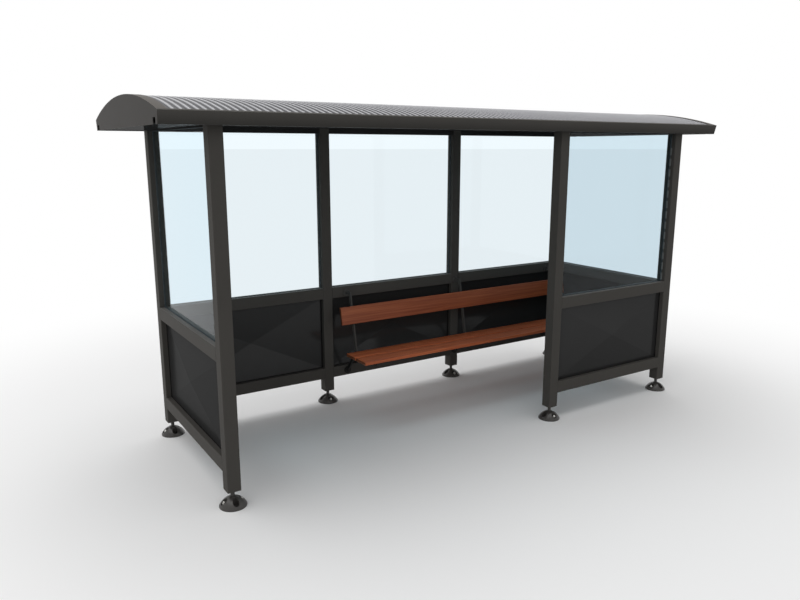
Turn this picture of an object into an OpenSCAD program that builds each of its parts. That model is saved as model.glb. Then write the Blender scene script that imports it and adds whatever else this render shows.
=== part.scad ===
// Free-standing bus shelter: a post and rail frame of three bays on levelling feet,
// glazed over cross-broken panels, with a shallow barrel roof and a wall bench.
// X runs along the shelter, the open front faces -Y, and Z = 0 is the ground.

/* [Frame] */
// Distance between post centres along the shelter
bay_len = 1300; // [1000:10:1600]
// Distance between the front and back post centres
depth = 1300; // [1100:10:1600]
// Side of the square posts, also the depth of the rails
post_w = 84; // [60:1:110]
// Radius of the rounded edges of posts and rails
edge_r = 5; // [2:0.5:10]
// Height of the head rail's underside over the ground
head_z = 2212; // [2000:1:2500]
// Height of the head rail's section
head_h = 70; // [50:1:90]

/* [Walls] */
// Height of the bottom rail's underside over the ground
bottom_z = 214; // [160:1:260]
// Height of the bottom rail's section
bottom_h = 90; // [60:1:110]
// Height of the sill rail's underside over the ground
sill_z = 892; // [780:1:1000]
// Height of the sill rail's section
sill_h = 90; // [60:1:110]
// Thickness of the cross-broken sheet panels
panel_t = 3; // [2:0.5:6]
// How far the panel's centre stands out from its edges
crease = 28; // [4:1:36]
// Thickness of the glass
pane_t = 8; // [6:0.5:12]
// Clearance at the sides and top of panels and panes
infill_gap = 0.3; // [0.1:0.1:0.8]

/* [Feet] */
// Height of the posts' underside over the ground
foot_h = 104; // [85:1:130]
// Radius of the foot's base
foot_r = 83; // [76:1:100]
// Height of the upright rim around the base
foot_rim = 8; // [5:1:14]
// Height of the cast dome
dome_h = 64; // [55:1:75]
// Radius of the flat top of the dome
hub_r = 16; // [14:1:20]
// How far the dome's flank bulges from a straight cone
dome_bulge = 8; // [6:1:18]
// Radius of the levelling spindle
spindle_r = 12; // [8:0.5:13]
// Radius of the circle of anchor bolts
bolt_ring_r = 54; // [48:1:58]
// Radius of each anchor bolt hole
bolt_hole_r = 7; // [5:0.5:9]
// Radius of the pocket around each anchor bolt
pocket_r = 20; // [14:0.5:21]
// Thickness of the floor under each pocket
pocket_floor = 12; // [8:1:16]
// Width of the slots that run in to the hub from two opposite pockets
slot_w = 32; // [24:1:36]
// Radius at which each slot begins
slot_r = 20; // [18:1:26]

/* [Roof] */
// Overhang of the roof past the end post centres
end_over = 325; // [200:5:450]
// Overhang of the roof past the front and back post centres
eave_over = 155; // [110:1:220]
// Rise of the barrel roof over the fascia's top
roof_rise = 116; // [90:1:200]
// How far the fascia's bottom edge leans in
fascia_lean = 18; // [5:1:25]
// Sheet thickness of the fascias
fascia_t = 3; // [2:0.5:5]
// Width of the fascia's top and bottom lips
lip_w = 40; // [25:1:60]
// Width of the fascia's trim over the sheet's edge
trim_w = 24; // [14:1:40]
// Height of the fascia's bottom edge over the head rail's underside
eave_step = 2; // [0:1:10]
// Height of the fascia's top edge over the head rail's top
fascia_step = 2; // [0:1:10]
// Depth of the corrugated roof sheet
sheet_depth = 9; // [6:0.5:14]
// Distance between the sheet's corrugations
wave_pitch = 42.5; // [36:0.5:80]
// Thickness of the roof sheet
sheet_t = 1.2; // [0.8:0.1:2]
// Thickness of the end caps
cap_t = 3; // [2:0.5:5]
// Width of the capping over the sheet at each end
capping_w = 57; // [30:1:80]
// Sheet thickness of the capping
capping_t = 2; // [1:0.5:3]
// Width of the notches at the foot of each end cap
notch_w = 50; // [25:1:60]
// Height of the notches
notch_h = 35; // [20:1:50]
// Distance of the notches from the cap's bottom corners
notch_in = 30; // [20:1:60]
// Thickness of the soffit boards under the eaves
soffit_t = 3; // [2:0.5:6]
// Width of the roof ribs along the shelter
rib_w = 40; // [30:1:60]
// Depth of the arched ribs
rib_h = 40; // [30:1:50]
// Clearance where curved pieces lie on each other
seat_gap = 0.3; // [0.1:0.1:0.8]

/* [Bench] */
// Length of the bench
bench_len = 2500; // [2300:10:2510]
// Height of the seat's top over the ground
seat_z = 472; // [420:1:500]
// Distance of the seat's back edge from the wall's inner face
seat_back = 208; // [196:1:260]
// Width of each board
board_w = 145; // [110:1:160]
// Thickness of each board
board_t = 25; // [20:1:32]
// Radius of the boards' rounded edges
board_r = 4; // [2:0.5:8]
// Gap between the seat's two boards
board_gap = 18; // [8:1:30]
// Height of the backrest's lower edge over the seat
back_rise = 220; // [180:1:260]
// Distance of the backrest's lower front edge from the wall's inner face
back_reach = 150; // [140:1:170]
// Lean of the backrest from upright, in degrees
recline = 11; // [5:0.5:14]
// Distance of the outer brackets from the bench's ends
bracket_in = 120; // [80:1:300]
// Thickness of the bracket bars along the bench
bracket_t = 12; // [8:1:20]
// Depth of the bracket bars
bracket_h = 26; // [20:1:34]
// How far the seat arm stops short of the seat's front edge
arm_in = 14; // [5:1:40]
// Radius of the bracket's wall flanges
flange_r = 30; // [22:1:34]
// Thickness of the bracket's wall flanges
flange_t = 8; // [5:1:12]
// Distance of the upper flange's centre from the sill's underside
flange_up = 36; // [30:1:50]

/* [Hidden] */
$fn = 64;

// Colours of the finishes
coat = "#3c3a37";
panel_coat = "#2b2b2b";
casting = "#353432";
glass = [0.80, 0.90, 0.95, 0.35];
timber = "#7a4630";
sheet_coat = "#6f6e6c";

// Frame
bay_count = 3;
arch_fn = 720;
front_y = -depth / 2;
back_y = depth / 2;
post_half = post_w / 2;
head_top = head_z + head_h;
end_x = bay_count * bay_len / 2;

// Place of a post line along X, counted from the left
function post_x(i) = i * bay_len - end_x;

// Dome flank: an arc through the rim's top and the hub's edge
dome_drop = [foot_r - hub_r, dome_h - foot_rim];
dome_chord = norm(dome_drop);
dome_arc_r = (dome_chord * dome_chord / 4 + dome_bulge * dome_bulge) / (2 * dome_bulge);
dome_set = (dome_arc_r - dome_bulge) / dome_chord;
dome_centre = [
    (foot_r + hub_r) / 2 - dome_set * dome_drop[1],
    (dome_h + foot_rim) / 2 - dome_set * dome_drop[0]
];

// Roof: the capping's outside is the arc from one fascia's top to the other
roof_x = end_x + end_over;
eave_z = head_z + eave_step;
fascia_top = head_top + fascia_step;
eave_y = depth / 2 + eave_over;
eave_foot_y = eave_y - fascia_lean;
roof_r = (eave_y * eave_y + roof_rise * roof_rise) / (2 * roof_rise);
roof_centre_z = fascia_top + roof_rise - roof_r;
sheet_r = roof_r - capping_t - seat_gap;
under_r = sheet_r - sheet_depth;
sheet_edge_y = eave_y - 2 * fascia_t;
frame_y = depth / 2 + post_half;
inner_x = roof_x - cap_t - seat_gap;

// Corrugations: whole waves along the sheet, from crest to crest over a valley;
// the points give the share of a wave along X and of the depth
wave_count = round(2 * inner_x / wave_pitch);
wave_len = 2 * inner_x / wave_count;
wave_shape = [[0, 1], [0.16, 1], [0.36, 0], [0.64, 0], [0.84, 1]];

// Height of the roof's arc of radius r at a distance y from the ridge
function arc_z(r, y) = roof_centre_z + sqrt(r * r - y * y);

// Distance of the fascia's inner face from the ridge at a height z
function fascia_in_y(z) = eave_foot_y - fascia_t + fascia_lean * (z - eave_z) / (fascia_top - eave_z);

// Bench
wall_y = back_y - post_half;
bench_x = bay_len / 2;
seat_back_y = wall_y - seat_back;
seat_depth = 2 * board_w + board_gap;
seat_front_y = seat_back_y - seat_depth;
back_foot_y = wall_y - back_reach;
back_foot_z = seat_z + back_rise;
arm_top = seat_z - board_t;
arm_low = arm_top - bracket_h;
upper_flange_z = sill_z + flange_up;
lower_flange_z = bottom_z + bottom_h / 2;

// Faces of the reclined upright at a height z: its front lies on the backrest's back
function upright_front_y(z) = back_foot_y + (z - back_foot_z) * tan(recline) + board_t / cos(recline);
function upright_back_y(z) = upright_front_y(z) + bracket_h / cos(recline);

// Rectangle with rounded corners, centred
module rounded_rect(w, h, r) {
    square([w - 2 * r, h], center = true);
    square([w, h - 2 * r], center = true);
    for (x = [-1, 1], y = [-1, 1])
        translate([x * (w / 2 - r), y * (h / 2 - r)]) circle(r);
}

// Turns a flat outline drawn in Y and Z into a bar along X
module along_x(len) {
    rotate([90, 0, 90]) linear_extrude(len) children();
}

// Post standing on its foot at post line i
module post(i, y) {
    color(coat) translate([post_x(i), y, foot_h])
        linear_extrude(head_top - foot_h) rounded_rect(post_w, post_w, edge_r);
}

// Rail along X between post lines i and j
module rail_x(i, j, y, z, h) {
    color(coat) translate([post_x(i) + post_half, y, z + h / 2])
        along_x(post_x(j) - post_x(i) - post_w) rounded_rect(post_w, h, edge_r);
}

// Rail along Y between the front and back posts at post line i
module rail_y(i, z, h) {
    color(coat) translate([post_x(i), wall_y, z + h / 2]) rotate([90, 0, 0])
        linear_extrude(depth - post_w) rounded_rect(post_w, h, edge_r);
}

// Puts its children in each bay of the back wall, facing out
module in_back_bays() {
    for (i = [0 : bay_count - 1])
        translate([post_x(i) + bay_len / 2, back_y, 0]) rotate(180) children();
}

// Puts its children in the left, right or front screen bay, facing out
module in_left_bay() {
    translate([post_x(0), 0, 0]) rotate(-90) children();
}

module in_right_bay() {
    translate([post_x(bay_count), 0, 0]) rotate(90) children();
}

module in_screen_bay() {
    translate([post_x(bay_count) - bay_len / 2, front_y, 0]) children();
}

// Sheet panel with a shallow four-sided point, standing on the bottom rail; outside is -Y
module cross_panel(span) {
    w = (span - post_w) / 2 - infill_gap;
    z0 = bottom_z + bottom_h;
    z1 = sill_z - infill_gap;
    zm = (z0 + z1) / 2;
    t = panel_t / 2;
    color(panel_coat) polyhedron(
        points = [
            [-w, -t, z0], [w, -t, z0], [w, -t, z1], [-w, -t, z1], [0, -t - crease, zm],
            [-w, t, z0], [w, t, z0], [w, t, z1], [-w, t, z1], [0, t - crease, zm]
        ],
        faces = [
            [0, 4, 1], [1, 4, 2], [2, 4, 3], [3, 4, 0],
            [5, 6, 9], [6, 7, 9], [7, 8, 9], [8, 5, 9],
            [0, 1, 6, 5], [1, 2, 7, 6], [2, 3, 8, 7], [3, 0, 5, 8]
        ]
    );
}

// Glass standing on the sill
module pane(span) {
    w = span - post_w - 2 * infill_gap;
    z0 = sill_z + sill_h;
    color(glass) translate([-w / 2, -pane_t / 2, z0]) cube([w, pane_t, head_z - infill_gap - z0]);
}

// Levelling foot: a cast dome with four bolt pockets, two of them open to the hub, and its spindle;
// the inner posts' feet are turned a quarter
module foot(i, y) {
    turn = i > 0 && i < bay_count ? 90 : 0;
    color(casting) translate([post_x(i), y, 0]) rotate(turn) {
        difference() {
            rotate_extrude() intersection() {
                translate(dome_centre) circle(dome_arc_r, $fn = 128);
                square([foot_r, dome_h]);
            }
            for (a = [0 : 90 : 270]) rotate(a) translate([bolt_ring_r, 0, 0]) {
                translate([0, 0, pocket_floor]) cylinder(r = pocket_r, h = dome_h);
                translate([0, 0, -1]) cylinder(r = bolt_hole_r, h = pocket_floor + 2);
            }
            for (a = [90, 270]) rotate(a) translate([slot_r, -slot_w / 2, pocket_floor])
                cube([bolt_ring_r - slot_r, slot_w, dome_h]);
        }
        translate([0, 0, pocket_floor]) cylinder(r = spindle_r, h = foot_h - pocket_floor);
    }
}

// Sweeps an outline, drawn in radius and X, over the roof out to half_y at radius r
module over_roof(half_y, r) {
    a = asin(half_y / r);
    translate([0, 0, roof_centre_z]) rotate([90, 0, 90]) rotate(90 - a)
        rotate_extrude(angle = 2 * a, $fn = arch_fn) children();
}

// Arch standing on the head frame, centred on the post line at x; inner is 0 for a full plate
module rib(x, inner) {
    outer = under_r - seat_gap;
    color(coat) translate([x - rib_w / 2, 0, 0]) along_x(rib_w) intersection() {
        translate([0, roof_centre_z]) difference() {
            circle(outer, $fn = arch_fn);
            if (inner > 0) circle(outer - inner, $fn = arch_fn);
        }
        translate([-frame_y, head_top]) square([2 * frame_y, roof_rise + fascia_step]);
    }
}

// Outline of the roof's end, in Y and Z
module end_outline() {
    intersection() {
        translate([0, roof_centre_z]) circle(roof_r, $fn = arch_fn);
        polygon([
            [-eave_foot_y, eave_z], [eave_foot_y, eave_z], [eave_y, fascia_top],
            [eave_y, fascia_top + roof_rise + 1], [-eave_y, fascia_top + roof_rise + 1], [-eave_y, fascia_top]
        ]);
    }
}

// End cap: notched plate with a capping strip over the sheet's end, drawn for the left end
module end_cap() {
    color(coat) {
        translate([-roof_x, 0, 0]) along_x(cap_t) difference() {
            end_outline();
            for (s = [-1, 1])
                translate([s * (eave_foot_y - notch_in - notch_w / 2) - notch_w / 2, eave_z - 1])
                    square([notch_w, notch_h + 1]);
        }
        over_roof(eave_y - trim_w - seat_gap, roof_r)
            translate([roof_r - capping_t, -roof_x]) square([capping_t, capping_w]);
    }
}

// Front fascia: leaning face with a bottom lip, a lip under the sheet's edge and a trim over it
module fascia() {
    lip_in_y = sheet_edge_y - lip_w;
    lip_z = arc_z(under_r, sheet_edge_y) - seat_gap;
    lip_in_z = arc_z(under_r, lip_in_y) - seat_gap;
    trim_r = roof_r - capping_t;
    trim_z = arc_z(trim_r, eave_y - fascia_t);
    trim_y = eave_y - trim_w;
    color(coat) translate([cap_t - roof_x, 0, 0]) along_x(2 * (roof_x - cap_t)) polygon([
        [-eave_foot_y, eave_z], [lip_w - eave_foot_y, eave_z], [lip_w - eave_foot_y, eave_z + fascia_t],
        [-fascia_in_y(eave_z + fascia_t), eave_z + fascia_t],
        [-fascia_in_y(lip_z - fascia_t), lip_z - fascia_t],
        [-lip_in_y, lip_in_z - fascia_t], [-lip_in_y, lip_in_z],
        [-fascia_in_y(lip_z), lip_z], [-fascia_in_y(trim_z), trim_z],
        [-trim_y, arc_z(trim_r, trim_y)], [-trim_y, arc_z(roof_r, trim_y)], [-eave_y, fascia_top]
    ]);
}

// Flat soffit board on the fascia's lip level
module soffit(x0, x1, y0, y1) {
    color(coat) translate([x0, y0, eave_z + fascia_t]) cube([x1 - x0, y1 - y0, soffit_t]);
}

// Board along the bench, its first corner at y = 0, z = 0
module board(y_size, z_size) {
    color(timber) translate([bench_x - bench_len / 2, y_size / 2, z_size / 2])
        along_x(bench_len) rounded_rect(y_size, z_size, board_r);
}

// Round flange on the wall at a height z
module wall_flange(z) {
    translate([0, wall_y, z]) rotate([90, 0, 0]) cylinder(r = flange_r, h = flange_t);
}

// Bench bracket: upright behind the backrest, arm under the seat, tie and brace to the wall
module bench_bracket(x) {
    arm_y = seat_front_y + arm_in;
    end_y = wall_y - flange_t / 2;
    tie_low = upper_flange_z - bracket_h / 2;
    tie_top = upper_flange_z + bracket_h / 2;
    brace_v = bracket_h / cos(atan2(arm_low - lower_flange_z, end_y - upright_back_y(arm_low)));
    color(coat) translate([x, 0, 0]) {
        translate([-bracket_t / 2, 0, 0]) along_x(bracket_t) polygon([
            [arm_y, arm_low], [upright_back_y(arm_low), arm_low],
            [end_y, lower_flange_z - brace_v / 2], [end_y, lower_flange_z + brace_v / 2],
            [upright_back_y(arm_low + brace_v), arm_low + brace_v],
            [upright_back_y(tie_low), tie_low], [end_y, tie_low],
            [end_y, tie_top], [upright_front_y(tie_top), tie_top],
            [upright_front_y(arm_top), arm_top], [arm_y, arm_top]
        ]);
        wall_flange(upper_flange_z);
        wall_flange(lower_flange_z);
    }
}

// Posts
module back_left_post() { post(0, back_y); }
module back_inner_left_post() { post(1, back_y); }
module back_inner_right_post() { post(2, back_y); }
module back_right_post() { post(3, back_y); }
module front_left_post() { post(0, front_y); }
module front_middle_post() { post(2, front_y); }
module front_right_post() { post(3, front_y); }

// Feet
module front_feet() { for (i = [0, 2, 3]) foot(i, front_y); }
module back_feet() { for (i = [0 : bay_count]) foot(i, back_y); }

// Rails
module back_bottom_rails() { for (i = [0 : bay_count - 1]) rail_x(i, i + 1, back_y, bottom_z, bottom_h); }
module back_sills() { for (i = [0 : bay_count - 1]) rail_x(i, i + 1, back_y, sill_z, sill_h); }
module back_head_rails() { for (i = [0 : bay_count - 1]) rail_x(i, i + 1, back_y, head_z, head_h); }
module left_bottom_rail() { rail_y(0, bottom_z, bottom_h); }
module left_sill() { rail_y(0, sill_z, sill_h); }
module left_head_rail() { rail_y(0, head_z, head_h); }
module right_bottom_rail() { rail_y(3, bottom_z, bottom_h); }
module right_sill() { rail_y(3, sill_z, sill_h); }
module right_head_rail() { rail_y(3, head_z, head_h); }
module screen_bottom_rail() { rail_x(2, 3, front_y, bottom_z, bottom_h); }
module screen_sill() { rail_x(2, 3, front_y, sill_z, sill_h); }
module front_head_rails() {
    rail_x(0, 2, front_y, head_z, head_h);
    rail_x(2, 3, front_y, head_z, head_h);
}

// Panels and glass
module back_panels() { in_back_bays() cross_panel(bay_len); }
module left_panel() { in_left_bay() cross_panel(depth); }
module right_panel() { in_right_bay() cross_panel(depth); }
module screen_panel() { in_screen_bay() cross_panel(bay_len); }
module back_panes() { in_back_bays() pane(bay_len); }
module left_pane() { in_left_bay() pane(depth); }
module right_pane() { in_right_bay() pane(depth); }
module screen_pane() { in_screen_bay() pane(bay_len); }

// Roof
module gable_ribs() { for (i = [0, bay_count]) rib(post_x(i), 0); }
module arch_ribs() { for (i = [1 : bay_count - 1]) rib(post_x(i), rib_h); }
module roof_sheet() {
    valley_r = under_r + sheet_t;
    waves = [for (i = [0 : wave_count - 1], p = wave_shape)
        [valley_r + p[1] * (sheet_r - valley_r), (i + p[0]) * wave_len - inner_x]];
    top = concat(waves, [[sheet_r, inner_x]]);
    underside = [for (i = [len(top) - 1 : -1 : 0]) top[i] - [sheet_t, 0]];
    color(sheet_coat) over_roof(sheet_edge_y, sheet_r) polygon(concat(top, underside));
}
module left_end_cap() { end_cap(); }
module right_end_cap() { mirror([1, 0, 0]) end_cap(); }
module front_fascia() { fascia(); }
module back_fascia() { mirror([0, 1, 0]) fascia(); }
module eave_soffits() {
    y = eave_foot_y - fascia_t - seat_gap;
    soffit(-inner_x, inner_x, -y, -frame_y);
    soffit(-inner_x, inner_x, frame_y, y);
}
module end_soffits() {
    x = end_x + post_half;
    soffit(-inner_x, -x, -frame_y, frame_y);
    soffit(x, inner_x, -frame_y, frame_y);
}

// Bench
module backrest_board() {
    translate([0, back_foot_y, back_foot_z]) rotate([-recline, 0, 0]) board(board_t, board_w);
}
module front_seat_board() { translate([0, seat_front_y, arm_top]) board(board_w, board_t); }
module back_seat_board() { translate([0, seat_back_y - board_w, arm_top]) board(board_w, board_t); }
module left_bench_bracket() { bench_bracket(bench_x - bench_len / 2 + bracket_in); }
module middle_bench_bracket() { bench_bracket(bench_x); }
module right_bench_bracket() { bench_bracket(bench_x + bench_len / 2 - bracket_in); }

back_left_post();
back_inner_left_post();
back_inner_right_post();
back_right_post();
front_left_post();
front_middle_post();
front_right_post();
front_feet();
back_feet();
back_bottom_rails();
back_sills();
back_head_rails();
left_bottom_rail();
left_sill();
left_head_rail();
right_bottom_rail();
right_sill();
right_head_rail();
screen_bottom_rail();
screen_sill();
front_head_rails();
back_panels();
left_panel();
right_panel();
screen_panel();
back_panes();
left_pane();
right_pane();
screen_pane();
gable_ribs();
arch_ribs();
roof_sheet();
left_end_cap();
right_end_cap();
front_fascia();
back_fascia();
eave_soffits();
end_soffits();
backrest_board();
front_seat_board();
back_seat_board();
left_bench_bracket();
middle_bench_bracket();
right_bench_bracket();
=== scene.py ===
import math

import bmesh
import bpy
from mathutils import Matrix, Vector


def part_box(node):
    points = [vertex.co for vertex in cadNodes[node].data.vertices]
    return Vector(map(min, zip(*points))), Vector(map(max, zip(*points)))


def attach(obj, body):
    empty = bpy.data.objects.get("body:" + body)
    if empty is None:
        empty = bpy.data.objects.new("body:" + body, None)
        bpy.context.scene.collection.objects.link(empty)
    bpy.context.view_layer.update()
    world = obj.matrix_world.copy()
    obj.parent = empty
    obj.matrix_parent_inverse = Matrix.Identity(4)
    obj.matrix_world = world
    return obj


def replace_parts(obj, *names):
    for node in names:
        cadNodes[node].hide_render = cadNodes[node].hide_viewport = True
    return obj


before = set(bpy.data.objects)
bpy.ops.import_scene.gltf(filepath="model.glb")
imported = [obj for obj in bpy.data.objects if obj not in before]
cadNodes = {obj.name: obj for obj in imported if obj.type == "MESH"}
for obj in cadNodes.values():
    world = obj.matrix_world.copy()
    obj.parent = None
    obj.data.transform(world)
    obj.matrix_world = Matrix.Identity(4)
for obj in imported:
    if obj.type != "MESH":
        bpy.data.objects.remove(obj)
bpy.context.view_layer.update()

bpy.context.scene.view_settings.view_transform = "Standard"
print("frame loaded:", len(cadNodes), "nodes")


def placeInScene(name, data):
    holder = bpy.data.objects.new(name, data)
    bpy.context.scene.collection.objects.link(holder)
    return holder


# Camera, fitted to post and rail edges
sight = {
    "place": (-3.206, -4.453, 2.094),
    "pitchDown": 0.2115,   # radians under level
    "turnRight": 0.5718,   # radians from +Y towards +X
    "lens": 31.69,
    "sensor": 36.0,
}


def setSight():
    lens = bpy.data.cameras.new("shelterSight")
    lens.lens = sight["lens"]
    lens.sensor_width = sight["sensor"]
    holder = placeInScene("shelterSight", lens)
    holder.location = sight["place"]
    holder.rotation_euler = (math.pi / 2 - sight["pitchDown"], 0, -sight["turnRight"])
    bpy.context.scene.camera = holder


setSight()
print("camera set")


# Short ways to build node trees
def newTree(owner):
    owner.use_nodes = True
    owner.node_tree.nodes.clear()
    return owner.node_tree


def put(tree, kind, inputs=None, **settings):
    node = tree.nodes.new("ShaderNode" + kind)
    for key, value in settings.items():
        setattr(node, key, value)
    for key, value in (inputs or {}).items():
        if isinstance(value, bpy.types.NodeSocket):
            tree.links.new(value, node.inputs[key])
        else:
            node.inputs[key].default_value = value
    return node


def reckon(tree, kind, a, b):
    return put(tree, "Math", {0: a, 1: b}, operation=kind).outputs[0]


def mixColour(tree, share, a, b, way="MIX"):
    # sockets 0, 6 and 7 are the colour mix's factor, A and B
    return put(tree, "Mix", {0: share, 6: a, 7: b}, data_type="RGBA", blend_type=way).outputs[2]


def mixShaders(tree, share, a, b):
    return put(tree, "MixShader", {0: share, 1: a.outputs[0], 2: b.outputs[0]})


def spread(tree, value, low, high, outLow=0.0, outHigh=1.0, way="LINEAR"):
    ends = {"From Min": low, "From Max": high, "To Min": outLow, "To Max": outHigh, "Value": value}
    return put(tree, "MapRange", ends, interpolation_type=way).outputs[0]


def grain(tree, place, size, detail=3.0, rough=0.5, twist=0.0):
    numbers = {"Vector": place, "Scale": size, "Detail": detail, "Roughness": rough, "Distortion": twist}
    return put(tree, "TexNoise", numbers).outputs["Fac"]


def relief(tree, height, strength, depth, invert=False):
    numbers = {"Strength": strength, "Distance": depth, "Height": height}
    return put(tree, "Bump", numbers, invert=invert).outputs[0]


def tone(red, green, blue):
    # screen colour in 0 to 255 to the linear numbers that shaders take
    def line(c):
        c = c / 255
        return c / 12.92 if c <= 0.04045 else ((c + 0.055) / 1.055) ** 2.4
    return (line(red), line(green), line(blue), 1.0)


def ownPlace(tree, stretch=(1, 1, 1)):
    place = put(tree, "TexCoord").outputs["Object"]
    if stretch == (1, 1, 1):
        return place
    return put(tree, "Mapping", {"Vector": place, "Scale": stretch}).outputs[0]


def faceLook(tree, axis):
    # how far a face looks along X, Y or Z (0, 1 or 2), from -1 to 1
    normal = put(tree, "NewGeometry").outputs["True Normal"]
    return put(tree, "SeparateXYZ", {0: normal}).outputs[axis]


def edgeMask(tree, width):
    # 0 on flats, rising to 1 on outer and inner edges
    soft = put(tree, "Bevel", {"Radius": width}, samples=4).outputs[0]
    true = put(tree, "NewGeometry").outputs["True Normal"]
    match = put(tree, "VectorMath", {0: soft, 1: true}, operation="DOT_PRODUCT").outputs["Value"]
    return spread(tree, match, 1.0, 0.82)


def closeFinish(tree, shader, kind="OutputMaterial"):
    end = put(tree, kind)
    tree.links.new(shader.outputs[0], end.inputs["Surface"])


# Studio: a dome brighter near the horizon, a broad overhead source and a white ground
studio = {
    "domeLow": 0.87,            # level of the dome's light on the object, near the horizon
    "domeHigh": 0.10,           # and overhead
    "domeBand": (0.45, 0.82),   # share of height where it goes from one to the other
    "leftward": 0.36,           # share more on the left, less on the right
    "over": 1.72,               # strength of the overhead source
    "overSpread": 64.0,         # degrees across
    "overTilt": (-8.0, -1.5),   # degrees about X and Y, from straight down
    "white": (1, 1, 1, 1),
}


def seenByEye(tree):
    # 1 for rays from the camera, mirrors and glass, 0 for rays that gather light
    way = put(tree, "LightPath").outputs
    seen = reckon(tree, "MAXIMUM", way["Is Camera Ray"], way["Is Glossy Ray"])
    return reckon(tree, "MAXIMUM", seen, way["Is Transmission Ray"])


def setDome():
    world = bpy.data.worlds.new("whiteStudio")
    bpy.context.scene.world = world
    tree = newTree(world)
    toward = put(tree, "SeparateXYZ", {0: put(tree, "TexCoord").outputs["Generated"]}).outputs
    start, end = studio["domeBand"]
    level = spread(tree, toward[2], start, end, studio["domeLow"], studio["domeHigh"])
    side = spread(tree, toward[0], -1, 1, 1 + studio["leftward"], 1 - studio["leftward"])
    level = reckon(tree, "MULTIPLY", level, side)
    light = put(tree, "Background", {"Color": studio["white"], "Strength": level})
    white = put(tree, "Background", {"Color": studio["white"], "Strength": 1.0})
    closeFinish(tree, mixShaders(tree, seenByEye(tree), light, white), "OutputWorld")


def setOverhead():
    lamp = bpy.data.lights.new("overheadSource", "SUN")
    lamp.energy = studio["over"]
    lamp.angle = math.radians(studio["overSpread"])
    holder = placeInScene("overheadSource", lamp)
    tiltX, tiltY = studio["overTilt"]
    holder.rotation_euler = (math.radians(tiltX), math.radians(tiltY), 0)


setDome()
setOverhead()
print("studio light set")

# White ground: takes the shadow near the shelter and runs out to plain white
ground = {
    "near": 60.0,           # half size of the middle field
    "half": 4000.0,         # out to where it meets the horizon
    "shade": 0.92,          # share of light that it shows
    "giveBack": 0.5,        # share that it gives back to the shelter
    "fadeStart": 2.4,       # metres from the shelter's middle
    "fadeEnd": 5.6,
    "throughGlass": 0.91,   # level of the far ground seen through panes
}


def layGround():
    lines = (-ground["half"], -ground["near"], ground["near"], ground["half"])
    corners = [(x, y, 0) for y in lines for x in lines]
    starts = [i + 4 * j for j in range(3) for i in range(3)]   # first corner of each field
    sheet = bpy.data.meshes.new("whiteGround")
    sheet.from_pydata(corners, [], [(s, s + 1, s + 5, s + 4) for s in starts])
    holder = placeInScene("whiteGround", sheet)
    finish = bpy.data.materials.new("groundWhite")
    tree = newTree(finish)
    far = put(tree, "VectorMath", {0: ownPlace(tree)}, operation="LENGTH").outputs["Value"]
    fade = spread(tree, far, ground["fadeStart"], ground["fadeEnd"], way="SMOOTHSTEP")
    way = put(tree, "LightPath").outputs
    shade = spread(tree, way["Is Diffuse Ray"], 0, 1, ground["shade"], ground["giveBack"])
    matt = put(tree, "BsdfDiffuse", {"Color": shade})
    level = spread(tree, way["Is Transmission Ray"], 0, 1, 1.0, ground["throughGlass"])
    white = put(tree, "Emission", {"Color": studio["white"], "Strength": level})
    share = reckon(tree, "MULTIPLY", fade, seenByEye(tree))
    closeFinish(tree, mixShaders(tree, share, matt, white))
    sheet.materials.append(finish)


layGround()
print("ground laid")

# Powder coat: even tone with slow clouds, orange peel, and edges rubbed a little lighter
coatGrain = {
    "cloudSize": 2.1, "dustSize": 37.0, "peelSize": 520.0,   # noise, higher is finer
    "peelDepth": 0.0004,
    "roughDrift": 0.03,   # the clouds change the roughness by so much
}


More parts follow.
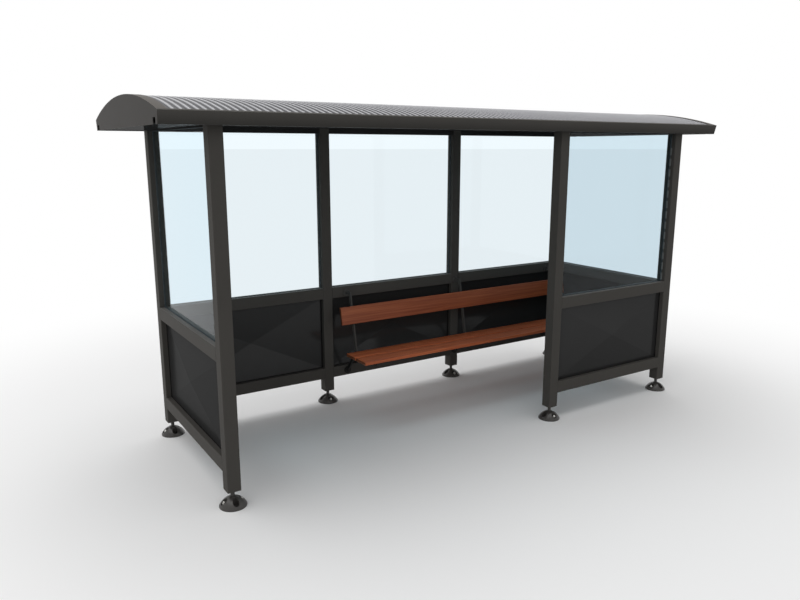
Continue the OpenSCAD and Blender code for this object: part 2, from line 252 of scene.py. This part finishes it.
def powderCoat(name, settings):
    finish = bpy.data.materials.new(name)
    tree = newTree(finish)
    place = ownPlace(tree)
    clouds = grain(tree, place, coatGrain["cloudSize"], 4.0)
    dust = grain(tree, place, coatGrain["dustSize"], 5.0, 0.6)
    peel = grain(tree, place, coatGrain["peelSize"], 2.0)
    base = settings["colour"][:3]
    dark = tuple(c * settings["cloudLow"] for c in base) + (1,)
    light = tuple(c * settings["cloudHigh"] for c in base) + (1,)
    colour = mixColour(tree, spread(tree, clouds, 0.3, 0.7), dark, light)
    dusty = spread(tree, dust, 0.55, 0.8, 0.0, settings["dust"])
    colour = mixColour(tree, dusty, colour, settings["dustColour"])
    if "topLightColour" in settings:
        # painted light: faces that look up are made lighter, as if lit from above
        colour = mixColour(tree, spread(tree, faceLook(tree, 2), 0.6, 0.95), colour, settings["topLightColour"])
    if "foldShadeTone" in settings:
        # painted light and shade: folded faces that look up a little are made lighter than those that look
        # down
        less, more = 1 - settings["foldShadeTone"], 1 + settings["foldShadeTone"]
        foldShade = spread(tree, faceLook(tree, 2), -0.1, 0.1, less, more)
        colour = mixColour(tree, 1.0, colour, foldShade, "MULTIPLY")
    if "lowShadeColour" in settings:
        # painted shade: darker towards the lower edge, where less light falls
        height = put(tree, "SeparateXYZ", {0: place}).outputs[2]
        low, high = settings["lowShadeBand"]
        colour = mixColour(tree, spread(tree, height, low, high), settings["lowShadeColour"], colour)
    if "crestHighlightColour" in settings:
        # painted highlight and shade: the sheet's crests are made bright, its valleys dark
        crest = put(tree, "Attribute", attribute_name="crest").outputs["Fac"]
        colour = mixColour(tree, crest, colour, settings["crestHighlightColour"])
    if "edgeWear" in settings:
        worn = spread(tree, dust, 0.35, 0.65, 0.0, settings["edgeWear"])
        rubbed = reckon(tree, "MULTIPLY", edgeMask(tree, settings["edgeWidth"]), worn)
        colour = mixColour(tree, rubbed, colour, settings["edgeColour"])
    smooth, coarse = settings["rough"] - coatGrain["roughDrift"], settings["rough"] + coatGrain["roughDrift"]
    bump = relief(tree, peel, settings["peel"], coatGrain["peelDepth"])
    surface = put(tree, "BsdfPrincipled", {
        "Base Color": colour, "Roughness": spread(tree, clouds, 0.3, 0.7, smooth, coarse),
        "Specular IOR Level": settings["shine"], "Normal": bump})
    if "mirror" in settings:
        # smooth sheet mirrors its surroundings faintly, at any angle alike
        mirror = put(tree, "BsdfAnisotropic", {"Roughness": settings["mirrorRough"], "Normal": bump})
        surface = mixShaders(tree, settings["mirror"], surface, mirror)
    closeFinish(tree, surface)
    return finish


frameCoat = {
    "colour": tone(77, 75, 72), "cloudLow": 0.95, "cloudHigh": 1.05,
    "dust": 0.05, "dustColour": tone(102, 100, 97),
    "edgeWidth": 0.004, "edgeWear": 0.22, "edgeColour": tone(110, 108, 105),
    "rough": 0.42, "shine": 0.012, "peel": 0.03,
}
# painted light: the sill and cap coats below make their tops lighter
sillCoat = dict(frameCoat, topLightColour=tone(114, 112, 109))
# painted shade: the fascia is lighter at the top and darker towards its lower edge
fasciaCoat = dict(frameCoat, colour=tone(84, 82, 79), lowShadeColour=tone(58, 57, 55), lowShadeBand=(2.205, 2.29))
capCoat = dict(frameCoat, colour=tone(73, 71, 69), dustColour=tone(88, 86, 83),
               topLightColour=tone(98, 94, 90), edgeColour=tone(98, 96, 93))
# painted shade: a darker copy of the frame coat for the head rails, eave soffits and ribs in the roof's
# shade; the end soffits below take it too, with a faint mirror
paintedShadeCoat = {
    "colour": tone(50, 50, 50), "cloudLow": 0.9, "cloudHigh": 1.1,
    "dust": 0.04, "dustColour": tone(62, 62, 61),
    "edgeWidth": 0.003, "edgeWear": 0.12, "edgeColour": tone(70, 70, 69),
    "rough": 0.6, "shine": 0.0, "peel": 0.03,
}
soffitCoat = dict(paintedShadeCoat, cloudLow=0.95, cloudHigh=1.05, dust=0.03, edgeWear=0.1,
                  rough=0.5, peel=0.0, mirror=0.085, mirrorRough=0.08)
bracketCoat = {
    "colour": tone(80, 79, 77), "cloudLow": 0.92, "cloudHigh": 1.08,
    "dust": 0.06, "dustColour": tone(100, 99, 96),
    "edgeWidth": 0.003, "edgeWear": 0.3, "edgeColour": tone(106, 105, 102),
    "rough": 0.4, "shine": 0.02, "peel": 0.04,
    # painted shade: the brackets are darker below the seat
    "lowShadeColour": tone(46, 46, 45), "lowShadeBand": (0.40, 0.47),
}
panelCoat = {
    "colour": tone(45, 45, 45), "cloudLow": 0.96, "cloudHigh": 1.04,
    "dust": 0.03, "dustColour": tone(60, 60, 59),
    "edgeWidth": 0.003, "edgeWear": 0.15, "edgeColour": tone(68, 68, 68),
    "rough": 0.32, "shine": 0.002, "peel": 0.02,
    # painted light and shade on the panel's folded faces
    "foldShadeTone": 0.04, "mirror": 0.019, "mirrorRough": 0.12,
}
roofCoat = {
    "colour": tone(74, 74, 78), "cloudLow": 0.95, "cloudHigh": 1.05,
    "dust": 0.06, "dustColour": tone(104, 102, 100),
    "rough": 0.3, "shine": 0.1, "peel": 0.03, "crestHighlightColour": tone(185, 185, 189),
}
footCoat = {
    "colour": tone(66, 64, 62), "cloudLow": 0.88, "cloudHigh": 1.12,
    "dust": 0.10, "dustColour": tone(92, 90, 86),
    "edgeWidth": 0.004, "edgeWear": 0.4, "edgeColour": tone(98, 96, 93),
    "rough": 0.28, "shine": 0.3, "peel": 0.1,
}

charcoalCoat = powderCoat("charcoalCoat", frameCoat)
sillFinish = powderCoat("sillCharcoal", sillCoat)
fasciaFinish = powderCoat("fasciaCharcoal", fasciaCoat)
capFinish = powderCoat("capCharcoal", capCoat)
paintedShadeFinish = powderCoat("headCharcoalPaintedShade", paintedShadeCoat)
soffitFinish = powderCoat("soffitCharcoal", soffitCoat)
bracketFinish = powderCoat("bracketCharcoal", bracketCoat)
panelFinish = powderCoat("panelCharcoal", panelCoat)
roofFinish = powderCoat("roofSheetGrey", roofCoat)
footFinish = powderCoat("footCasting", footCoat)

# Glass: clear with a blue tint; light falls through it
paneGlass = {
    "tint": (0.876, 0.96, 1.0, 1),
    "shadowTint": (0.74, 0.82, 0.85, 1),
    "bend": 1.13,     # low, for little glare
    "smear": 0.012,   # roughness where the glass is least clean
    "smearSize": 4.5, "smearStretch": (1.0, 1.0, 0.35),
}
backGlass = dict(paneGlass, bend=1.22)     # mirrors the front posts faintly
screenGlass = dict(paneGlass, tint=(0.735, 0.822, 0.868, 1), shadowTint=(0.76, 0.85, 0.89, 1), bend=1.2)


def glassFinish(name, settings):
    finish = bpy.data.materials.new(name)
    tree = newTree(finish)
    smear = grain(tree, ownPlace(tree, settings["smearStretch"]), settings["smearSize"], 5.0, 0.6)
    rough = spread(tree, smear, 0.45, 0.75, 0.0, settings["smear"])
    clear = put(tree, "BsdfPrincipled", {
        "Base Color": settings["tint"], "Roughness": rough, "IOR": settings["bend"],
        "Transmission Weight": 1.0})
    passing = put(tree, "BsdfTransparent", {"Color": settings["shadowTint"]})
    way = put(tree, "LightPath").outputs
    lamp = reckon(tree, "MAXIMUM", way["Is Shadow Ray"], way["Is Diffuse Ray"])
    closeFinish(tree, mixShaders(tree, lamp, clear, passing))
    return finish


glassPanes = glassFinish("paleBlueGlass", paneGlass)
glassBack = glassFinish("backBlueGlass", backGlass)
glassScreen = glassFinish("deepBlueGlass", screenGlass)

# Bench timber: oiled reddish hardwood, grain along the boards
benchTimber = {
    "dark": tone(152, 76, 45), "mid": tone(180, 96, 57), "light": tone(200, 115, 70),
    "line": tone(112, 52, 31), "endGrain": tone(102, 56, 29),
    # stretch along and across the board, then size, detail, roughness and twist of the noise
    "figure": ((0.7, 34.0, 34.0), 2.2, 5.0, 0.6, 0.3),
    "lines": ((1.6, 210.0, 210.0), 1.5, 3.0, 0.55),
    "pores": ((14.0, 900.0, 900.0), 1.3, 2.0),
    "boards": ((0.4, 3.0, 3.0), 1.4, 2.0),
    "rough": 0.5, "shine": 0.35, "lineStrength": 0.2, "lineDepth": 0.0006,
    "seatLitShare": 1.24, "backShadeShare": 0.74,   # painted light and shade: the seat boards are made lighter, the backrest darker
}


def timberFinish(name, share):
    finish = bpy.data.materials.new(name)
    tree = newTree(finish)

    def woodNoise(layer):
        stretch, *numbers = benchTimber[layer]
        return grain(tree, ownPlace(tree, stretch), *numbers)

    figure, lines, pores, boards = (woodNoise(layer) for layer in ("figure", "lines", "pores", "boards"))
    warm = mixColour(tree, spread(tree, figure, 0.32, 0.56), benchTimber["dark"], benchTimber["mid"])
    warm = mixColour(tree, spread(tree, figure, 0.52, 0.74), warm, benchTimber["light"])
    warm = mixColour(tree, spread(tree, lines, 0.52, 0.72, 0.0, 0.45), warm, benchTimber["line"])
    warm = mixColour(tree, spread(tree, pores, 0.6, 0.8, 0.0, 0.3), warm, benchTimber["line"])
    warm = mixColour(tree, spread(tree, boards, 0.35, 0.65, 0.0, 0.2), warm, benchTimber["dark"])
    endwise = put(tree, "Math", {0: faceLook(tree, 0)}, operation="ABSOLUTE").outputs[0]
    warm = mixColour(tree, spread(tree, endwise, 0.7, 0.9), warm, benchTimber["endGrain"])
    # painted light and shade: the whole board is made lighter or darker by its share
    warm = mixColour(tree, 1.0, warm, (share, share, share, 1), "MULTIPLY")
    height = reckon(tree, "ADD", lines, pores)
    bump = relief(tree, height, benchTimber["lineStrength"], benchTimber["lineDepth"], True)
    rough = spread(tree, lines, 0.3, 0.7, benchTimber["rough"] - 0.06, benchTimber["rough"] + 0.1)
    closeFinish(tree, put(tree, "BsdfPrincipled", {
        "Base Color": warm, "Roughness": rough, "Normal": bump, "Specular IOR Level": benchTimber["shine"]}))
    return finish


seatWood = timberFinish("seatHardwoodPaintedLight", benchTimber["seatLitShare"])
backWood = timberFinish("backrestHardwoodPaintedShade", benchTimber["backShadeShare"])

# Small finishes: zinc plate, glazing rubber and pale packers
zincPlate = {
    "colour": tone(188, 187, 184), "stain": tone(128, 126, 121), "rough": 0.26,
    "cloudSize": 60.0, "brushSize": 900.0, "brushStrength": 0.1, "brushDepth": 0.0003,
}
glazingRubber = {"colour": tone(70, 76, 79), "spots": tone(88, 94, 96), "rough": 0.62, "shine": 0.05}
# panel rubber: dark rubber that also stands in as painted shade for the shadow line along the panel edges
panelRubberPaintedShade = {"colour": tone(24, 24, 24), "spots": tone(34, 34, 33), "rough": 0.62, "shine": 0.0}
paleNylon = {"colour": tone(100, 105, 105), "spots": tone(86, 90, 90), "rough": 0.45, "shine": 0.2}
softGrain = {"cloudSize": 28.0, "skinSize": 700.0, "skinStrength": 0.15, "skinDepth": 0.0003}


def zincFinish():
    finish = bpy.data.materials.new("zincPlate")
    tree = newTree(finish)
    place = ownPlace(tree)
    cloud = grain(tree, place, zincPlate["cloudSize"], 4.0, 0.6)
    brush = grain(tree, place, zincPlate["brushSize"], 2.0)
    colour = mixColour(tree, spread(tree, cloud, 0.4, 0.75), zincPlate["colour"], zincPlate["stain"])
    rough = spread(tree, cloud, 0.3, 0.7, zincPlate["rough"] - 0.06, zincPlate["rough"] + 0.14)
    bump = relief(tree, brush, zincPlate["brushStrength"], zincPlate["brushDepth"])
    closeFinish(tree, put(tree, "BsdfPrincipled", {
        "Base Color": colour, "Metallic": 1.0, "Roughness": rough, "Normal": bump}))
    return finish


def softFinish(name, settings):
    finish = bpy.data.materials.new(name)
    tree = newTree(finish)
    place = ownPlace(tree)
    cloud = grain(tree, place, softGrain["cloudSize"], 5.0, 0.6)
    skin = grain(tree, place, softGrain["skinSize"], 2.0)
    colour = mixColour(tree, spread(tree, cloud, 0.45, 0.75), settings["colour"], settings["spots"])
    rough = spread(tree, cloud, 0.3, 0.7, settings["rough"] - 0.08, settings["rough"] + 0.08)
    bump = relief(tree, skin, softGrain["skinStrength"], softGrain["skinDepth"])
    closeFinish(tree, put(tree, "BsdfPrincipled", {
        "Base Color": colour, "Roughness": rough, "Specular IOR Level": settings["shine"], "Normal": bump}))
    return finish


zincSteel = zincFinish()
rubber = softFinish("glazingRubber", glazingRubber)
darkRubberPaintedShade = softFinish("panelRubberPaintedShade", panelRubberPaintedShade)
nylon = softFinish("paleNylon", paleNylon)
print("finishes mixed")

# Finishes of the CAD nodes by the ends of their names; the first that fits is taken
nodeFinishes = [
    # painted shade: parts in the roof's shade take the darker coat
    (paintedShadeFinish, ("head_rail", "head_rails", "eave_soffits", "_ribs")),
    (charcoalCoat, ("_post", "_rail", "_rails")),
    (sillFinish, ("_sill", "_sills")),
    (capFinish, ("_cap",)),
    (fasciaFinish, ("_fascia",)),
    (soffitFinish, ("_soffits",)),
    (panelFinish, ("_panel", "_panels")),
    (glassScreen, ("screen_pane",)),
    (glassPanes, ("_pane",)),
    (glassBack, ("_panes",)),
    (footFinish, ("_feet",)),
    (backWood, ("backrest_board",)),
    (seatWood, ("_board",)),
    (bracketFinish, ("_bracket",)),
    (roofFinish, ("roof_sheet",)),
]


def finishNodes():
    for name, holder in cadNodes.items():
        finish = next(f for f, endings in nodeFinishes if name.endswith(endings))
        holder.data.materials.clear()
        holder.data.materials.append(finish)


finishNodes()
print("CAD nodes finished")


# Makes a piece of the visual model out of a bmesh, riding on the fixed frame
def addPiece(name, shape, finish, sharp=35.0):
    bmesh.ops.recalc_face_normals(shape, faces=shape.faces)
    body = bpy.data.meshes.new(name)
    shape.to_mesh(body)
    shape.free()
    body.shade_smooth()
    body.set_sharp_from_angle(angle=math.radians(sharp))
    body.materials.append(finish)
    piece = placeInScene(name, body)
    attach(piece, "root")
    print("piece:", name, len(body.polygons), "faces")
    return piece


# Faces between neighbouring loops of corners; both ends are closed, unless the loops meet in a ring
def skinLoops(shape, loops, ring=False):
    count = len(loops[0])
    for one, two in zip(loops, loops[1:] + loops[:1] if ring else loops[1:]):
        for k in range(count):
            shape.faces.new((one[k], one[(k + 1) % count], two[(k + 1) % count], two[k]))
    if not ring:
        shape.faces.new(loops[0][::-1])
        shape.faces.new(loops[-1])


# Turned outline about an upright axis: rings of (radius, height)
def turned(shape, place, rings, sides=20, first=0.0):
    turns = [first + 2 * math.pi * k / sides for k in range(sides)]
    loops = []
    for radius, height in rings:
        rim = [Vector((radius * math.cos(a), radius * math.sin(a), height)) for a in turns]
        loops.append([shape.verts.new(place @ corner) for corner in rim])
    skinLoops(shape, loops)


# Roof sheet with rounded corrugations, in the place of the plainer CAD sheet
roofSheet = {
    "pitch": 0.0425,      # between crests
    "thick": 0.0012,
    "depth": 0.009,       # over crest and valley, with the thickness
    "stepsPerWave": 12,
    "stepsOver": 28,      # front to back
    "flat": 1.25,         # over 1 flattens crests and valleys
    "shoulder": 1.4,      # higher makes the slopes between them steeper
    "highlightFrom": 0.6,    # share of the height where the painted crest highlight starts
}


def waveHeight(share):
    # 0 in the valley, 1 on the crest, with soft shoulders
    full = roofSheet["shoulder"] * roofSheet["flat"]
    return 0.5 + 0.5 * math.tanh(full * math.cos(2 * math.pi * share)) / math.tanh(full)


def makeRoofSheet():
    low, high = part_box("roof_sheet")
    crestR = 3.0   # first guess, which settles in the loop
    for _ in range(8):
        # the box's height is the arc's rise and the sheet's depth at the eave
        rise = high.z - low.z - roofSheet["depth"] * math.sqrt(1 - (high.y / crestR) ** 2)
        crestR = (high.y ** 2 + rise ** 2) / (2 * rise)
    centreZ = high.z - crestR
    halfTurn = math.asin(high.y / crestR)
    length = high.x - low.x
    waves = round(length / roofSheet["pitch"])
    steps = waves * roofSheet["stepsPerWave"]
    over = roofSheet["stepsOver"]
    drop = roofSheet["depth"] - roofSheet["thick"]
    highlightStart = roofSheet["highlightFrom"]
    turns = [halfTurn * (2 * j / over - 1) for j in range(over + 1)]
    shape = bmesh.new()
    # the crest layer carries the share of the painted highlight
    crest = shape.verts.layers.float.new("crest")
    skins = []
    for lift in (0.0, -roofSheet["thick"]):
        rows = []
        for i in range(steps + 1):
            x = low.x + length * i / steps
            height = waveHeight(waves * i / steps)
            r = crestR + lift - drop * (1 - height)
            row = [shape.verts.new((x, r * math.sin(a), centreZ + r * math.cos(a))) for a in turns]
            for corner in row:
                corner[crest] = min(1.0, max(0.0, (height - highlightStart) / (1 - highlightStart)))
            rows.append(row)
        skins.append(rows)
    for rows in skins:
        for i in range(steps):
            for j in range(over):
                shape.faces.new((rows[i][j], rows[i + 1][j], rows[i + 1][j + 1], rows[i][j + 1]))
    top, under = skins
    for i in range(steps):
        for j in (0, over):
            shape.faces.new((top[i][j], top[i + 1][j], under[i + 1][j], under[i][j]))
    for j in range(over):
        for i in (0, steps):
            shape.faces.new((top[i][j], top[i][j + 1], under[i][j + 1], under[i][j]))
    piece = addPiece("corrugated_roof", shape, roofFinish, sharp=60.0)
    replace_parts(piece, "roof_sheet")


makeRoofSheet()

postNames = ["back_left", "back_inner_left", "back_inner_right", "back_right",
             "front_left", "front_middle", "front_right"]
postBoxes = {name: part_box(name + "_post") for name in postNames}
postAt = {name: (low + high) / 2 for name, (low, high) in postBoxes.items()}
postHalf = (postBoxes["back_left"][1].x - postBoxes["back_left"][0].x) / 2

# Anchor bolts: washer, hexagon nut and a domed end in the two round pockets of each foot
anchor = {
    "ring": 0.054,      # from the foot's middle
    "floor": 0.012,     # pocket floor
    "shankR": 0.006, "shankLow": 0.001,
    "washerR": 0.0165, "washerT": 0.003, "washerEase": 0.0006,
    "nutR": 0.0130, "nutH": 0.015, "nutEase": 0.001, "nutFoot": 0.93, "nutCrown": 0.9,
    "nutTurn": 0.3,     # radians
    "domeR": 0.0106, "domeH": 0.013, "domeSteps": (0, 18, 36, 54, 70, 82),   # degrees up the dome
    "spin": 1.7,        # so that no two nuts of a foot stand alike
}


def addAnchor(shape, place):
    base, top = anchor["floor"], anchor["floor"] + anchor["washerT"]
    turned(shape, place, [(anchor["shankR"], anchor["shankLow"]), (anchor["shankR"], base)], 16)
    r, ease = anchor["washerR"], anchor["washerEase"]
    turned(shape, place, [(r - ease, base), (r, base + ease), (r, top - ease), (r - ease, top)], 24)
    r, ease = anchor["nutR"], anchor["nutEase"]
    nutTop = top + anchor["nutH"]
    turned(shape, place, [
        (r * anchor["nutFoot"], top), (r, top + ease),
        (r, nutTop - ease), (r * anchor["nutCrown"], nutTop)], 6, anchor["nutTurn"])
    climb = [math.radians(a) for a in anchor["domeSteps"]]
    turned(shape, place, [
        (anchor["domeR"] * math.cos(a), nutTop + anchor["domeH"] * math.sin(a)) for a in climb], 20)


def makeAnchors():
    for row in ("front", "back"):
        shape = bmesh.new()
        for name in postNames:
            if name.startswith(row):
                first = math.pi / 2 if "inner" in name or "middle" in name else 0.0   # inner feet are turned
                for angle in (first, first + math.pi):
                    spot = Vector((postAt[name].x + anchor["ring"] * math.cos(angle),
                                   postAt[name].y + anchor["ring"] * math.sin(angle), 0))
                    turn = Matrix.Rotation(angle * anchor["spin"], 4, "Z")
                    addAnchor(shape, Matrix.Translation(spot) @ turn)
        addPiece(row + "_anchor_bolts", shape, zincSteel, sharp=30.0)


makeAnchors()

# Fine thread on the levelling spindles, between dome and post
spindleThread = {
    "low": 0.068, "clear": 0.001,   # above the ground, and under the post
    "rootR": 0.0119, "crestR": 0.0125, "pitch": 0.003,
    "crest": (0.4, 0.6),            # shares of the pitch between which the crest lies
    "sides": 20,
}


def makeThreads():
    shape = bmesh.new()
    low, pitch = spindleThread["low"], spindleThread["pitch"]
    root, crest = spindleThread["rootR"], spindleThread["crestR"]
    start, end = spindleThread["crest"]
    turns = int((postBoxes["back_left"][0].z - spindleThread["clear"] - low) / pitch)
    rings = []
    for i in range(turns):
        z = low + i * pitch
        rings += [(root, z), (crest, z + pitch * start), (crest, z + pitch * end)]
    rings.append((root, low + turns * pitch))
    for name in postNames:
        turned(shape, Matrix.Translation((postAt[name].x, postAt[name].y, 0)), rings, spindleThread["sides"])
    addPiece("spindle_threads", shape, footFinish, sharp=20.0)


makeThreads()

# Glazing and panel gaskets: mitred rings on both faces of each sheet, one set per wall
walls = {
    "back_left": ("back_left", "back_inner_left"),
    "back_middle": ("back_inner_left", "back_inner_right"),
    "back_right": ("back_inner_right", "back_right"),
    "left_end": ("front_left", "back_left"),
    "right_end": ("front_right", "back_right"),
    "screen": ("front_middle", "front_right"),
}
gasket = {
    # distance in from the frame, height off the sheet
    "profile": [(0.0002, -0.0010), (0.0002, 0.0040), (0.0012, 0.0046),
                (0.0030, 0.0041), (0.0041, 0.0022), (0.0044, -0.0010)],
    "uprightWiden": 1.8, "flatWiden": 0.75,   # uprights are wider than top and bottom
    "paneHalf": 0.0041, "panelHalf": 0.0016,
}


def wallFrame(ends):
    one, two = (postAt[name] for name in ends)
    along = (two - one).normalized()
    out = Vector((along.y, -along.x, 0))
    centre = (one + two) / 2
    return Vector((centre.x, centre.y, 0)), along, out, (two - one).length / 2 - postHalf


def addRing(shape, ends, low, high, sheetHalf):
    centre, along, out, half = wallFrame(ends)
    for side in (1, -1):
        loops = []
        for inset, lift in gasket["profile"]:
            w, flat = half - inset * gasket["uprightWiden"], inset * gasket["flatWiden"]
            z0, z1 = low + flat, high - flat
            stand = out * side * (sheetHalf + lift)
            loops.append([shape.verts.new(centre + along * a + stand + Vector((0, 0, z)))
                          for a, z in ((-w, z0), (w, z0), (w, z1), (-w, z1))])
        skinLoops(shape, loops, ring=True)


def makeGaskets():
    sillLow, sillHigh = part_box("screen_sill")
    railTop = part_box("screen_bottom_rail")[1].z
    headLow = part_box("front_head_rails")[0].z
    for name, ends in walls.items():
        shape = bmesh.new()
        addRing(shape, ends, sillHigh.z, headLow, gasket["paneHalf"])
        addPiece(name + "_pane_gasket", shape, rubber, sharp=25.0)
        shape = bmesh.new()
        addRing(shape, ends, railTop, sillLow.z, gasket["panelHalf"])
        addPiece(name + "_panel_gasket", shape, darkRubberPaintedShade, sharp=25.0)


makeGaskets()

# Pale packers in the screen's upright gaskets, on the outer face
packer = {
    "first": 0.998, "pitch": 0.087, "count": 13,   # height of the lowest, and the row above it
    "length": 0.058, "width": 0.010, "lift": 0.0105, "ease": 0.0012,
    "frameGap": 0.0002,
}


def easedBlock(shape, place, size, ease):
    # box with a chamfered front; local Y points out
    w, d, h = size[0] / 2, size[1], size[2] / 2
    loops = []
    for inset, y in ((0.0, 0.0), (0.0, d - ease), (ease, d)):
        a, b = w - inset, h - inset
        corners = ((-a, y, -b), (a, y, -b), (a, y, b), (-a, y, b))
        loops.append([shape.verts.new(place @ Vector(corner)) for corner in corners])
    skinLoops(shape, loops)


def makePackers():
    shape = bmesh.new()
    centre, along, out, half = wallFrame(walls["screen"])
    turn = Matrix((along, out, (0, 0, 1))).transposed().to_4x4()
    size = (packer["width"], packer["lift"], packer["length"])
    for side in (1, -1):
        foot = centre + along * side * (half - packer["width"] / 2 - packer["frameGap"])
        foot += out * gasket["paneHalf"]
        for i in range(packer["count"]):
            up = Vector((0, 0, packer["first"] + packer["pitch"] * i + packer["length"] / 2))
            easedBlock(shape, Matrix.Translation(foot + up) @ turn, size, packer["ease"])
    addPiece("screen_packers", shape, nylon, sharp=25.0)


makePackers()

# Bench boards with eased ends, in the place of the CAD boards
plank = {
    "thick": 0.025, "wide": 0.145, "edgeR": 0.004, "endR": 0.003,
    "cornerSteps": 5, "endSteps": 3, "lengthSteps": 10,
    "lean": math.radians(11),   # of the backrest
}


def plankOutline(inset):
    r = plank["edgeR"]
    a, b = plank["wide"] / 2 - r, plank["thick"] / 2 - r
    points = []
    for quarter, (u, v) in enumerate(((a, b), (-a, b), (-a, -b), (a, -b))):
        for step in range(plank["cornerSteps"] + 1):
            turn = math.pi / 2 * (quarter + step / plank["cornerSteps"])
            points.append((u + (r - inset) * math.cos(turn), v + (r - inset) * math.sin(turn)))
    return points


def makePlank(name, node, finish, acrossWide, acrossThick):
    low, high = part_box(node)
    centre = (low + high) / 2
    length, parts = high.x - low.x, plank["lengthSteps"]
    shape = bmesh.new()
    ends = []
    for step in range(plank["endSteps"] + 1):
        turn = math.pi / 2 * step / plank["endSteps"]
        ends.append((plank["endR"] * (1 - math.sin(turn)), plank["endR"] * (1 - math.cos(turn))))
    places = [(low.x + along, inset) for inset, along in ends]
    places += [(low.x + length * i / parts, 0.0) for i in range(1, parts)]
    places += [(high.x - along, inset) for inset, along in reversed(ends)]
    loops = []
    for x, inset in places:
        loops.append([shape.verts.new(Vector((x, centre.y, centre.z)) + acrossWide * u + acrossThick * v)
                      for u, v in plankOutline(inset)])
    skinLoops(shape, loops)
    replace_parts(addPiece(name, shape, finish, sharp=30.0), node)


leanUp = Vector((0, math.sin(plank["lean"]), math.cos(plank["lean"])))
leanBack = Vector((0, math.cos(plank["lean"]), -math.sin(plank["lean"])))
makePlank("backrest_plank", "backrest_board", backWood, leanUp, leanBack)
makePlank("front_seat_plank", "front_seat_board", seatWood, Vector((0, 1, 0)), Vector((0, 0, 1)))
makePlank("back_seat_plank", "back_seat_board", seatWood, Vector((0, 1, 0)), Vector((0, 0, 1)))

# Screws of the bench brackets: on the wall flanges, under the seat arms and behind the backrest
benchScrew = {
    "headR": 0.0046, "headH": 0.003, "sides": 14,
    # shares of radius and height, up the head and down into its socket
    "profile": [(1, 0), (1, 0.25), (0.88, 0.62), (0.62, 0.9), (0.34, 1), (0.3, 0.55)],
    "flangeRing": 0.0215, "flangeT": 0.008, "flangeUp": 0.036,
    "bar": 0.026,                                     # height of a bracket's arm
    "boardShares": (0.3, 0.72), "backSpread": 0.038,  # places on seat boards and backrest
}


def addScrew(shape, spot, facing):
    turn = facing.to_track_quat("Z", "Y").to_matrix().to_4x4()
    rings = [(benchScrew["headR"] * r, benchScrew["headH"] * h) for r, h in benchScrew["profile"]]
    turned(shape, Matrix.Translation(spot) @ turn, rings, benchScrew["sides"])


def makeScrews():
    shape = bmesh.new()
    sill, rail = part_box("back_sills"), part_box("back_bottom_rails")
    faceY = sill[0].y - benchScrew["flangeT"]
    heights = (sill[0].z + benchScrew["flangeUp"], (rail[0].z + rail[1].z) / 2)
    seats = [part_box("front_seat_board"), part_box("back_seat_board")]
    backLow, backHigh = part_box("backrest_board")
    middle = (backLow + backHigh) / 2
    ring = benchScrew["flangeRing"]
    for name in ("left", "middle", "right"):
        low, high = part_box(name + "_bench_bracket")
        x = (low.x + high.x) / 2
        for z in heights:
            for quarter in range(4):
                turn = math.pi * (0.25 + quarter / 2)
                spot = Vector((x + ring * math.cos(turn), faceY, z + ring * math.sin(turn)))
                addScrew(shape, spot, Vector((0, -1, 0)))
        for boardLow, boardHigh in seats:
            for share in benchScrew["boardShares"]:
                y = boardLow.y + (boardHigh.y - boardLow.y) * share
                addScrew(shape, Vector((x, y, boardLow.z - benchScrew["bar"])), Vector((0, 0, -1)))
        for side in (1, -1):
            spot = Vector((x, middle.y, middle.z)) + leanUp * side * benchScrew["backSpread"]
            addScrew(shape, spot + leanBack * (plank["thick"] / 2 + benchScrew["bar"]), leanBack)
    addPiece("bench_screws", shape, bracketFinish, sharp=35.0)


makeScrews()
